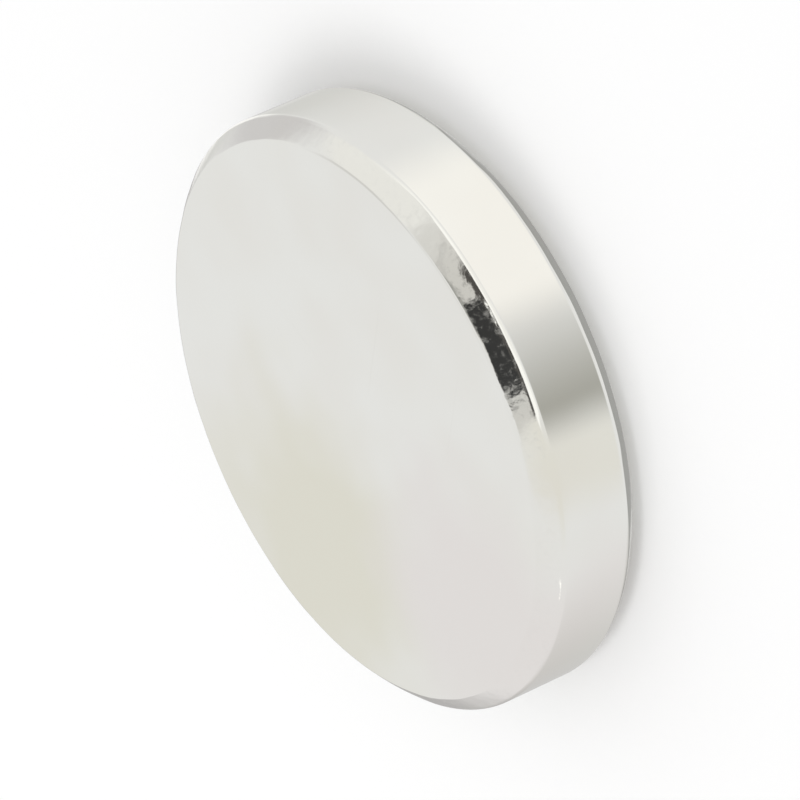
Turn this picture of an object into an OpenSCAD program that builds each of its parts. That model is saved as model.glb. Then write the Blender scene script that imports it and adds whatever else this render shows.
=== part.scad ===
// Disc magnet: one sintered neodymium disc under bright nickel plating. Both faces
// are ground flat, and each edge has a ground chamfer that tumbling has blended
// a little into the face and into the rim.
// It lies flat: its back face is on Z = 0 and its axis is +Z.

/* [Disc] */
// Diameter across the rim, with the plating
magnet_d = 25.4; // [10:0.1:60]
// Thickness from face to face, with the plating
magnet_t = 4.76; // [3:0.01:20]

/* [Edges] */
// Leg of each chamfer, along the face and along the rim alike
chamfer = 0.8; // [0.4:0.01:1.2]
// Radius of the blend between a chamfer and its face
face_blend_r = 0.15; // [0.05:0.01:0.4]
// Radius of the blend between a chamfer and the rim
rim_blend_r = 0.3; // [0.05:0.01:0.4]

/* [Hidden] */

plating_colour = "#dddcd6";

// Facets of a full circle where the disc is drawn as a mesh
facets = 256;

disc_r = magnet_d / 2;
mid_z = magnet_t / 2;

// Angle by which the outline turns at each end of a chamfer
turn = 45;

// Distance from each end of a sharp chamfer to the points where its blend
// touches the straight stretches on both sides
face_tangent = face_blend_r * tan(turn / 2);
rim_tangent = rim_blend_r * tan(turn / 2);

// Section from the back face up to half the thickness, on one side of the axis.
// It is drawn from the corner that face and rim would make without the chamfer:
// the polygon joins the touching points, and a circle fills each blend.
module lower_half_section() {
    translate([disc_r, 0]) {
        polygon([
            [-disc_r, 0],
            [-chamfer - face_tangent, 0],
            [-chamfer + face_tangent * cos(turn), face_tangent * sin(turn)],
            [-rim_tangent * cos(turn), chamfer - rim_tangent * sin(turn)],
            [0, chamfer + rim_tangent],
            [0, mid_z],
            [-disc_r, mid_z]
        ]);
        translate([-chamfer - face_tangent, face_blend_r])
            circle(r = face_blend_r, $fn = facets);
        translate([-rim_blend_r, chamfer + rim_tangent])
            circle(r = rim_blend_r, $fn = facets);
    }
}

// Whole section on one side of the axis: both edges are alike
module half_section() {
    lower_half_section();
    translate([0, magnet_t])
        mirror([0, 1])
            lower_half_section();
}

// The disc: its section turned once round the axis
module magnet() {
    color(plating_colour)
        rotate_extrude($fn = facets)
            half_section();
}

magnet();
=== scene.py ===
import math

import bpy
from mathutils import Euler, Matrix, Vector


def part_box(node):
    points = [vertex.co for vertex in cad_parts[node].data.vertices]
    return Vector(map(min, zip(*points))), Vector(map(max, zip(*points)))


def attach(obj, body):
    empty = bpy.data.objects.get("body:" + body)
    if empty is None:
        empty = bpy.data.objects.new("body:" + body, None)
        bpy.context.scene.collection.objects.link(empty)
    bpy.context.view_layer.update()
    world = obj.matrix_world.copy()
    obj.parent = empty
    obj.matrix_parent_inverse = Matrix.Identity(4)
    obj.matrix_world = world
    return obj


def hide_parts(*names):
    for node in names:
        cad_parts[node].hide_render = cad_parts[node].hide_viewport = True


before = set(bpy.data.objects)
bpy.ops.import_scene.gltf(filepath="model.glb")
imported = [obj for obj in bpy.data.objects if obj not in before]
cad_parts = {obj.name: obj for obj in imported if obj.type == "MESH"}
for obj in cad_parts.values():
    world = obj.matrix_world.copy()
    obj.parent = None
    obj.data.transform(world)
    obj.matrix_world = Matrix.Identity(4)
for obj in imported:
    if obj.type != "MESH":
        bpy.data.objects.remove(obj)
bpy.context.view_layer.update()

# The disc is one block of pressed and sintered neodymium-iron-boron. Its faces and rim are ground,
# each edge gets a ground 45 degree chamfer, and tumbling blends the chamfer's two corners a little.
# It is then plated all over with bright nickel, which follows every small unevenness under it.

MM = 0.001
low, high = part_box("magnet")
disc_radius = (high.x - low.x) / 2
disc_thickness = high.z - low.z
chamfer_leg = 0.8 * MM
face_blend_radius = 0.15 * MM
rim_blend_radius = 0.3 * MM


def add_node(tree, kind, inputs=None, **settings):
    """Adds one node to a tree, with its settings, and its inputs as values or as links."""
    made = tree.nodes.new(kind)
    for name, value in settings.items():
        setattr(made, name, value)
    for socket, value in (inputs or {}).items():
        if isinstance(value, bpy.types.NodeSocket):
            tree.links.new(value, made.inputs[socket])
        else:
            made.inputs[socket].default_value = value
    return made


def srgb(hex_code, alpha=1.0):
    """Turns a colour written as sRGB hex into the linear values that a shader takes."""
    shares = [int(hex_code[i:i + 2], 16) / 255 for i in (1, 3, 5)]
    return [s / 12.92 if s <= 0.04045 else ((s + 0.055) / 1.055) ** 2.4 for s in shares] + [alpha]


# Each cloud of tint in the plating: its middle and its radius in millimetres, and its colour
tint_clouds = [
    ((-3.5, 7.5, 4.8), 9.5, "#E3E1D4"),
    ((-9.5, -4.0, 4.8), 8.5, "#E8E4E1"),
]


def bright_nickel_plating():
    """Bright electroplated nickel over a ground, tumbled surface: a slightly warm mirror that is
    a little soft. Faint clouds of tint lie on it, hairlines cross it, and the chamfer keeps the
    small dents and dull scuffs that grinding and tumbling gave its edge."""
    material = bpy.data.materials.new("bright_nickel_plating")
    material.use_nodes = True
    tree = material.node_tree
    tree.nodes.clear()
    place = add_node(tree, "ShaderNodeTexCoord").outputs
    in_mm = add_node(
        tree,
        "ShaderNodeVectorMath",
        {0: place["Object"], 1: (1000, 1000, 1000)},
        operation="MULTIPLY",
    ).outputs["Vector"]

    def maths(operation, a, b=0.0):
        return add_node(tree, "ShaderNodeMath", {0: a, 1: b}, operation=operation).outputs[0]

    def noise(vector, size_mm, detail=1.0):
        """Noise whose marks are about this many millimetres wide."""
        inputs = {"Vector": vector, "Scale": 1 / size_mm, "Detail": detail}
        return add_node(tree, "ShaderNodeTexNoise", inputs).outputs["Fac"]

    def ramp(value, start, end, low_end=0.0, high_end=1.0):
        """Takes a value smoothly from one range to another."""
        inputs = {
            "Value": value,
            "From Min": start,
            "From Max": end,
            "To Min": low_end,
            "To Max": high_end,
        }
        made = add_node(tree, "ShaderNodeMapRange", inputs, interpolation_type="SMOOTHSTEP")
        return made.outputs["Result"]

    def stretched(vector, factors, turn=0.0):
        """Stretches a pattern by a factor along each axis, and turns it round Z by some degrees."""
        inputs = {"Vector": vector, "Rotation": (0, 0, math.radians(turn)), "Scale": factors}
        return add_node(tree, "ShaderNodeMapping", inputs, vector_type="TEXTURE").outputs["Vector"]

    def mix(share, under, over):
        made = add_node(tree, "ShaderNodeMix", {0: share, 6: under, 7: over}, data_type="RGBA")
        return made.outputs[2]

    # Tint: the plating bath leaves a warm and a faintly pink cloud, which melt into the neutral
    # rest, and the edge of each cloud wanders by up to a few millimetres
    cloud_wander = 9.0
    drift = maths("MULTIPLY", maths("SUBTRACT", noise(in_mm, 6.0, 2.0), 0.5), cloud_wander)
    tint = mix(ramp(noise(in_mm, 4.5), 0.3, 0.7), srgb("#ECECE8"), srgb("#EAE9E4"))
    for cloud_place, cloud_radius, colour in tint_clouds:
        reach = add_node(tree, "ShaderNodeVectorMath", {0: in_mm, 1: cloud_place}, operation="DISTANCE")
        reach = maths("ADD", reach.outputs["Value"], drift)
        tint = mix(ramp(reach, cloud_radius * 0.35, cloud_radius, 1.0, 0.0), tint, srgb(colour))

    # Hairlines: light scratches from handling in two directions, 11 mm long and 0.06 mm wide
    hairline_stretch = (11.0, 0.06, 1.0)
    hairline_strength = 0.05
    hairlines = 0.0
    for turn in (24, -52):
        streaks = noise(stretched(in_mm, hairline_stretch, turn), 1.0, 2.0)
        hairlines = maths("ADD", hairlines, ramp(streaks, 0.66, 0.76))
    tint = mix(maths("MULTIPLY", hairlines, hairline_strength), tint, srgb("#C9C7C0"))

    # Marks of the edge: dents 0.35 mm wide and scuffs 0.25 mm wide, only where the surface slopes
    chamfer_normal_z = math.sqrt(0.5)
    normal_z = add_node(tree, "ShaderNodeSeparateXYZ", {"Vector": place["Normal"]}).outputs["Z"]
    off_slope = maths("ABSOLUTE", maths("SUBTRACT", maths("ABSOLUTE", normal_z), chamfer_normal_z))
    on_chamfer = ramp(off_slope, 0.06, 0.2, 1.0, 0.0)
    dents = noise(in_mm, 0.35, 2.0)
    elsewhere = add_node(tree, "ShaderNodeVectorMath", {0: in_mm, 1: (7, 7, 7)}).outputs["Vector"]
    scuffs = noise(elsewhere, 0.25, 2.0)

    # Grinding lines of the rim run round it, 0.12 mm apart
    lines = noise(stretched(in_mm, (9.0, 9.0, 0.12)), 1.0)

    # Roughness: nearly polished all over, and softer in the scuffs
    polished, rubbed, scuff_roughness = 0.05, 0.085, 0.16
    rub = ramp(noise(in_mm, 1.4, 3.0), 0.3, 0.7, polished, rubbed)
    scuffed = maths("MULTIPLY", ramp(scuffs, 0.46, 0.72), maths("MULTIPLY", on_chamfer, scuff_roughness))
    roughness = maths("ADD", rub, scuffed)

    # Height of each kind of unevenness, in millimetres: fine orange peel and long waves all over,
    # the grinding lines, and the dents of the chamfer
    peel_height, wave_height, line_height, dent_height = 0.0006, 0.02, 0.00008, 0.006
    peel = maths("MULTIPLY", noise(in_mm, 0.7), peel_height)
    waves = maths("MULTIPLY", noise(in_mm, 4.0), wave_height)
    rim_lines = maths("MULTIPLY", lines, line_height)
    dented = maths("MULTIPLY", maths("MULTIPLY", dents, on_chamfer), dent_height)
    relief = maths("ADD", maths("ADD", peel, waves), maths("ADD", rim_lines, dented))
    bump = add_node(tree, "ShaderNodeBump", {"Height": relief, "Distance": MM, "Strength": 1.0})

    metal = add_node(
        tree,
        "ShaderNodeBsdfPrincipled",
        {"Base Color": tint, "Metallic": 1.0, "Roughness": roughness, "Normal": bump.outputs["Normal"]},
    )
    add_node(tree, "ShaderNodeOutputMaterial", {"Surface": metal.outputs["BSDF"]})
    return material


def turned_disc_tree():
    """Builds the tree that draws half of the disc's section, blends its corners and turns it round
    the axis. The chamfer, which is ground by hand, then gets its slight unevenness."""
    tree = bpy.data.node_groups.new("turned_disc", "GeometryNodeTree")
    face = tree.interface
    face.new_socket("Geometry", in_out="INPUT", socket_type="NodeSocketGeometry")
    lengths = (
        "Radius", "Thickness", "Chamfer", "Face blend", "Rim blend", "Support", "Row spacing",
        "Crown", "Wave height", "Wave length", "Ripple height", "Ripple length",
    )
    for name in lengths:
        face.new_socket(name, in_out="INPUT", socket_type="NodeSocketFloat")
    for name in ("Columns", "Blend rows", "Seed"):
        face.new_socket(name, in_out="INPUT", socket_type="NodeSocketInt")
    face.new_socket("Plating", in_out="INPUT", socket_type="NodeSocketMaterial")
    face.new_socket("Geometry", in_out="OUTPUT", socket_type="NodeSocketGeometry")
    given = tree.nodes.new("NodeGroupInput").outputs

    def maths(operation, a, b=0.0):
        return add_node(tree, "ShaderNodeMath", {0: a, 1: b}, operation=operation).outputs[0]

    def point(x, z):
        return add_node(tree, "ShaderNodeCombineXYZ", {"X": x, "Z": z}).outputs["Vector"]

    # Corners of the sharp section, from the axis at the back face to the axis at the front face
    flat = maths("SUBTRACT", given["Radius"], given["Chamfer"])
    inner = maths("SUBTRACT", flat, given["Support"])
    shoulder = maths("SUBTRACT", given["Thickness"], given["Chamfer"])
    corners = [
        point(0.0, 0.0),
        point(inner, 0.0),
        point(flat, 0.0),
        point(given["Radius"], given["Chamfer"]),
        point(given["Radius"], shoulder),
        point(flat, given["Thickness"]),
        point(inner, given["Thickness"]),
        point(0.0, given["Thickness"]),
    ]
    face_blend, rim_blend = given["Face blend"], given["Rim blend"]
    blends = [0.0, 0.0, face_blend, rim_blend, rim_blend, face_blend, 0.0, 0.0]
    index = add_node(tree, "GeometryNodeInputIndex").outputs["Index"]

    def by_index(values, data_type):
        """Gives each point of the line its own value."""
        pick = tree.nodes.new("GeometryNodeIndexSwitch")
        pick.data_type = data_type
        while len(pick.index_switch_items) < len(values):
            pick.index_switch_items.new()
        tree.links.new(index, pick.inputs["Index"])
        for i, value in enumerate(values):
            if isinstance(value, bpy.types.NodeSocket):
                tree.links.new(value, pick.inputs[i + 1])
            else:
                pick.inputs[i + 1].default_value = value
        return pick.outputs[0]

    line = add_node(tree, "GeometryNodeMeshLine", {"Count": len(corners)}, mode="OFFSET")
    outline = add_node(
        tree,
        "GeometryNodeSetPosition",
        {"Geometry": line.outputs["Mesh"], "Position": by_index(corners, "VECTOR")},
    )
    outline = add_node(tree, "GeometryNodeMeshToCurve", {"Mesh": outline.outputs["Geometry"]})
    rounded = add_node(
        tree,
        "GeometryNodeFilletCurve",
        {
            "Curve": outline.outputs["Curve"],
            "Count": given["Blend rows"],
            "Radius": by_index(blends, "FLOAT"),
            "Limit Radius": True,
        },
        mode="POLY",
    )

    # Straight stretches are cut into rows, so that the unevenness has points to move. The faces and
    # the rim stay straight, so their long stretches get no more than a chamfer needs.
    most_cuts = 12.0
    here = add_node(tree, "GeometryNodeInputPosition").outputs["Position"]
    ahead = add_node(
        tree,
        "GeometryNodeFieldAtIndex",
        {"Index": maths("ADD", index, 1.0), "Value": here},
        data_type="FLOAT_VECTOR",
    )
    stretch = add_node(tree, "ShaderNodeVectorMath", {0: ahead.outputs[0], 1: here}, operation="DISTANCE")
    cuts = maths("DIVIDE", stretch.outputs["Value"], given["Row spacing"])
    cuts = maths("MINIMUM", cuts, most_cuts)
    rows = add_node(
        tree,
        "GeometryNodeSubdivideCurve",
        {"Curve": rounded.outputs["Curve"], "Cuts": maths("FLOOR", cuts)},
    ).outputs["Curve"]
    row_count = add_node(tree, "GeometryNodeAttributeDomainSize", {"Geometry": rows}, component="CURVE")
    row_count = row_count.outputs["Point Count"]

    # A grid with one column for each step round the axis is wrapped onto the section's rows
    columns = maths("ADD", given["Columns"], 1.0)
    grid = add_node(tree, "GeometryNodeMeshGrid", {"Vertices X": columns, "Vertices Y": row_count})
    row = maths("MODULO", index, row_count)
    column = maths("FLOOR", maths("DIVIDE", maths("ADD", index, 0.5), row_count))
    angle = maths("MULTIPLY", maths("DIVIDE", column, given["Columns"]), 2 * math.pi)
    section_point = add_node(
        tree,
        "GeometryNodeSampleIndex",
        {"Geometry": rows, "Value": here, "Index": row},
        data_type="FLOAT_VECTOR",
        domain="POINT",
    )
    turned = add_node(
        tree,
        "ShaderNodeVectorRotate",
        {"Vector": section_point.outputs[0], "Angle": angle},
        rotation_type="Z_AXIS",
    )
    disc = add_node(
        tree,
        "GeometryNodeSetPosition",
        {"Geometry": grid.outputs["Mesh"], "Position": turned.outputs["Vector"]},
    )
    disc = add_node(
        tree,
        "GeometryNodeMergeByDistance",
        {"Geometry": disc.outputs["Geometry"], "Distance": 0.001 * MM},
    ).outputs["Geometry"]

    # Unevenness is largest on the slope of the chamfer and dies out on the flat faces and the rim
    chamfer_normal_z = math.sqrt(0.5)
    normal = add_node(tree, "GeometryNodeInputNormal").outputs["Normal"]
    normal_z = add_node(tree, "ShaderNodeSeparateXYZ", {"Vector": normal}).outputs["Z"]
    off_slope = maths("ABSOLUTE", maths("SUBTRACT", maths("ABSOLUTE", normal_z), chamfer_normal_z))
    on_chamfer = add_node(
        tree,
        "ShaderNodeMapRange",
        {"Value": off_slope, "From Min": 0.0, "From Max": 0.29, "To Min": 1.0, "To Max": 0.0},
    ).outputs["Result"]

    # Hand grinding also leaves the chamfer crowned: it is highest halfway between its two edges
    level = add_node(tree, "ShaderNodeSeparateXYZ", {"Vector": here}).outputs["Z"]
    half_thickness = maths("MULTIPLY", given["Thickness"], 0.5)
    half_chamfer = maths("MULTIPLY", given["Chamfer"], 0.5)
    above = maths("ABSOLUTE", maths("SUBTRACT", level, half_thickness))
    chamfer_middle = maths("SUBTRACT", half_thickness, half_chamfer)
    off_middle = maths("DIVIDE", maths("SUBTRACT", above, chamfer_middle), half_chamfer)
    arch = maths("MAXIMUM", maths("SUBTRACT", 1.0, maths("MULTIPLY", off_middle, off_middle)), 0.0)
    crown = maths("MULTIPLY", arch, given["Crown"])

    def unevenness(height, length, part):
        """Noise of this height and length. Another part gives another pattern from the same seed."""
        scale = maths("DIVIDE", 1.0, length)
        noise = add_node(
            tree,
            "ShaderNodeTexNoise",
            {"Vector": here, "W": maths("ADD", given["Seed"], part), "Scale": scale, "Detail": 1.0},
            noise_dimensions="4D",
        )
        return maths("MULTIPLY", maths("SUBTRACT", noise.outputs["Fac"], 0.5), height)

    waves = unevenness(given["Wave height"], given["Wave length"], 0.0)
    ripples = unevenness(given["Ripple height"], given["Ripple length"], 10.0)
    lift = maths("MULTIPLY", maths("ADD", maths("ADD", waves, ripples), crown), on_chamfer)
    offset = add_node(tree, "ShaderNodeVectorMath", {0: normal, "Scale": lift}, operation="SCALE")
    uneven = add_node(
        tree,
        "GeometryNodeSetPosition",
        {"Geometry": disc, "Offset": offset.outputs["Vector"]},
    )
    smooth = add_node(tree, "GeometryNodeSetShadeSmooth", {"Geometry": uneven.outputs["Geometry"]})
    real = add_node(tree, "GeometryNodeRealizeInstances", {"Geometry": smooth.outputs[0]})
    plated = add_node(
        tree,
        "GeometryNodeSetMaterial",
        {"Geometry": real.outputs["Geometry"], "Material": given["Plating"]},
    )
    add_node(tree, "NodeGroupOutput", {"Geometry": plated.outputs["Geometry"]})
    return tree


nickel = bright_nickel_plating()
disc_sizes = {
    "Radius": disc_radius,
    "Thickness": disc_thickness,
    "Chamfer": chamfer_leg,
    "Face blend": face_blend_radius,
    "Rim blend": rim_blend_radius,
    "Support": 0.12 * MM,
    "Row spacing": 0.14 * MM,
    "Crown": 0.02 * MM,
    "Wave height": 0.10 * MM,
    "Wave length": 4.0 * MM,
    "Ripple height": 0.025 * MM,
    "Ripple length": 0.9 * MM,
    "Columns": 640,
    "Blend rows": 8,
    "Seed": 3,
    "Plating": nickel,
}
blank = bpy.data.objects.new("disc_blank", bpy.data.meshes.new("disc_blank"))
bpy.context.scene.collection.objects.link(blank)
turning = blank.modifiers.new("turning", "NODES")
turning.node_group = turned_disc_tree()
for item in turning.node_group.interface.items_tree:
    if item.in_out == "INPUT" and item.name in disc_sizes:
        turning[item.identifier] = disc_sizes[item.name]
bpy.context.view_layer.update()
finished_blank = blank.evaluated_get(bpy.context.evaluated_depsgraph_get())
disc_mesh = bpy.data.meshes.new_from_object(finished_blank)
bpy.data.objects.remove(blank)
plated_disc = bpy.data.objects.new("plated_disc", disc_mesh)
bpy.context.scene.collection.objects.link(plated_disc)
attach(plated_disc, "root")
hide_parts("magnet")

# The floor is a plain white board. Metal doesn't mirror it, but what the studio shows below the
# horizon, so the rim reflects the same white surroundings as in the photograph.

floor_size = 6.0


def white_board():
    """Matt white painted board: it scatters nearly all light and keeps the disc's soft shadow."""
    material = bpy.data.materials.new("matt_white_board")
    material.use_nodes = True
    tree = material.node_tree
    tree.nodes.clear()
    board = add_node(tree, "ShaderNodeBsdfDiffuse", {"Color": srgb("#FDFDFD"), "Roughness": 0.0})
    add_node(tree, "ShaderNodeOutputMaterial", {"Surface": board.outputs["BSDF"]})
    return material


half = floor_size / 2
floor_mesh = bpy.data.meshes.new("floor")
floor_corners = [(-half, -half, 0.0), (half, -half, 0.0), (half, half, 0.0), (-half, half, 0.0)]
floor_mesh.from_pydata(floor_corners, [], [(0, 1, 2, 3)])
floor_mesh.materials.append(white_board())
floor = bpy.data.objects.new("floor", floor_mesh)
floor.visible_glossy = False
bpy.context.scene.collection.objects.link(floor)

# The studio is a white tent all round. What the metal mirrors is the tent with a few soft cards in
# it. Each card is placed by the bearing and height at which the disc sees it, in degrees: bearing 0
# is +X, 90 is +Y and -90 is the camera's side.

room_light = 0.86
tent_light = (0.905, 0.905, 0.905)
cards = [
    # name, bearing, height, lean, half width, half height, how far its light fades on the side of
    # smaller bearings, on the side of larger ones and at both ends, and its light
    ("back wall", 98, -38, 0, 70, 34, 50, 50, 14, (0.70, 0.70, 0.68)),
    ("side board", 44, 6, 0, 28, 24, 18, 18, 16, (0.70, 0.685, 0.69)),
    ("soffit", 54, 52, 0, 28, 16, 14, 14, 12, (0.75, 0.745, 0.73)),
    ("upper window", -2, 38, 0, 30, 20, 20, 14, 10, (0.95, 0.945, 0.92)),
    ("gap in the tent", 104, -12, 0, 32, 23, 12, 40, 15, (0.47, 0.46, 0.46)),
    ("lit edge of the gap", 63, -18, -20, 20, 9, 14, 8, 6, (1.09, 1.085, 1.07)),
    ("warm card", -137, 12, 0, 30, 60, 24, 24, 24, (0.865, 0.85, 0.795)),
    ("warm window", -42, -30, 0, 40, 30, 16, 24, 20, (1.09, 1.075, 1.045)),
    ("front window", -57, 22, 0, 58, 22, 4, 50, 6, (1.03, 1.025, 1.00)),
    ("upper half of the front window", -57, 31, 0, 58, 13, 4, 50, 6, (1.15, 1.145, 1.12)),
    ("grey card", -99, -32, 0, 27, 22, 15, 47, 14, (0.43, 0.425, 0.39)),
    ("half shade", -30, 54, -26, 12, 18, 8, 8, 6, (0.79, 0.78, 0.755)),
    ("shade of the dark card", -76, 62, -4, 30, 16, 7, 12, 5, (0.71, 0.70, 0.675)),
    ("fold of the shade", -33, 56, 0, 2.6, 11, 2.2, 2.2, 6, (0.64, 0.63, 0.61)),
    ("overhead board", -36, 70, 0, 14, 8, 4, 4, 4, (0.42, 0.42, 0.40)),
    ("dark card", -84, 62, -6, 13.5, 12, 2, 3, 3, (0.045, 0.045, 0.045)),
    ("foot of the dark card", -82, 50, 4, 26, 7, 4, 6, 1.5, (0.09, 0.085, 0.08)),
    ("slot of light", -72, 50.5, 0, 2.6, 4, 1.2, 1.2, 1.5, (1.15, 1.15, 1.12)),
    ("under the disc", 90, -58, 0, 34, 22, 14, 14, 8, (0.40, 0.40, 0.39)),
    ("small lamp", 176, 24, 0, 3.5, 9, 3.5, 3.5, 9, (1.3, 1.3, 1.27)),
]


def studio_light():
    """White to the camera and to matt surfaces. Metal sees the tent with its cards."""
    world = bpy.data.worlds.new("studio_tent")
    world.use_nodes = True
    tree = world.node_tree
    tree.nodes.clear()

    def maths(operation, a, b=0.0):
        return add_node(tree, "ShaderNodeMath", {0: a, 1: b}, operation=operation).outputs[0]

    def fade(angle, edge, softness):
        """1 well inside a card's edge and 0 outside it, in degrees off the card's middle."""
        inputs = {
            "Value": angle,
            "From Min": math.radians(edge - softness),
            "From Max": math.radians(edge),
            "To Min": 1.0,
            "To Max": 0.0,
        }
        made = add_node(tree, "ShaderNodeMapRange", inputs, interpolation_type="SMOOTHSTEP")
        return made.outputs["Result"]

    def background(light, strength):
        inputs = {"Color": light, "Strength": strength}
        return add_node(tree, "ShaderNodeBackground", inputs).outputs["Background"]

    ray = add_node(tree, "ShaderNodeTexCoord").outputs["Generated"]
    seen = add_node(tree, "ShaderNodeCombineColor", dict(zip(("Red", "Green", "Blue"), tent_light)))
    seen = seen.outputs["Color"]
    for name, bearing, height, lean, half_width, half_height, before, after, ends, light in cards:
        turn = Euler((math.radians(lean), -math.radians(height), math.radians(bearing))).to_matrix()
        along = []
        for axis in ((1, 0, 0), (0, 1, 0), (0, 0, 1)):
            inputs = {0: ray, 1: turn @ Vector(axis)}
            dot = add_node(tree, "ShaderNodeVectorMath", inputs, operation="DOT_PRODUCT")
            along.append(dot.outputs["Value"])
        ahead, side, up = along
        across = maths("ARCTAN2", side, ahead)
        backwards = maths("MULTIPLY", across, -1.0)
        above = maths("ABSOLUTE", maths("ARCSINE", up))
        cover = maths("MULTIPLY", fade(across, half_width, after), fade(backwards, half_width, before))
        cover = maths("MULTIPLY", cover, fade(above, half_height, ends))
        inputs = {0: cover, 6: seen, 7: list(light) + [1.0]}
        card = add_node(tree, "ShaderNodeMix", inputs, data_type="RGBA", name=name)
        seen = card.outputs[2]

    # The path of the ray decides which of the three lights it meets
    white = (1, 1, 1, 1)
    path = add_node(tree, "ShaderNodeLightPath").outputs
    straight = maths("MAXIMUM", path["Is Camera Ray"], path["Is Transmission Ray"])
    lit = add_node(
        tree,
        "ShaderNodeMixShader",
        {0: path["Is Glossy Ray"], 1: background(white, room_light), 2: background(seen, 1.0)},
    )
    shown = add_node(
        tree,
        "ShaderNodeMixShader",
        {0: straight, 1: lit.outputs["Shader"], 2: background(white, 1.0)},
    )
    add_node(tree, "ShaderNodeOutputWorld", {"Surface": shown.outputs["Shader"]})
    return world


bpy.context.scene.world = studio_light()

# One large soft box hangs over the disc and gives the shadow its direction. It lies outside what
# the metal mirrors.

box_direction = Vector((-0.35, 0.2, 0.9))
box_distance = 0.6
box_width = 0.35
box_power = 0.7
box_light = bpy.data.lights.new("soft_box", "AREA")
box_light.shape = "SQUARE"
box_light.size = box_width
box_light.energy = box_power
soft_box = bpy.data.objects.new("soft_box", box_light)
soft_box.location = box_direction.normalized() * box_distance
soft_box.rotation_euler = soft_box.location.to_track_quat("Z", "Y").to_euler()
soft_box.visible_camera = False
soft_box.visible_glossy = False
bpy.context.scene.collection.objects.link(soft_box)

# The camera sees the front face at the photograph's angle, 28.8 degrees above the plane of the
# face, from 28.3 disc radii away. It is rolled so that the disc leans in the picture as it does
# there, and the lens draws it 2.5 times as large, so that it fills most of the frame.

camera_height_angle = 28.83
camera_distance = 28.34 * disc_radius
camera_roll = -114.2
sensor_width = 36.0
frame_pixels = 800
photo_pixels_per_radius = 127.8
enlargement = 2.5
pixels_per_radius = photo_pixels_per_radius * enlargement
camera_data = bpy.data.cameras.new("camera")
camera_data.sensor_width = sensor_width
camera_data.lens = sensor_width * pixels_per_radius * camera_distance / disc_radius / frame_pixels
camera = bpy.data.objects.new("camera", camera_data)
rise = math.radians(camera_height_angle)
face_centre = Vector((0, 0, high.z))
camera.location = face_centre + Vector((0, -math.cos(rise), math.sin(rise))) * camera_distance
aim = Vector((0, 0, disc_thickness / 2)) - camera.location
roll = Euler((0, 0, math.radians(camera_roll))).to_quaternion()
camera.rotation_mode = "QUATERNION"
camera.rotation_quaternion = aim.to_track_quat("-Z", "Y") @ roll
camera_data.clip_start = 0.01
camera_data.clip_end = 20.0
bpy.context.scene.collection.objects.link(camera)
bpy.context.scene.camera = camera
bpy.context.scene.view_settings.view_transform = "Standard"
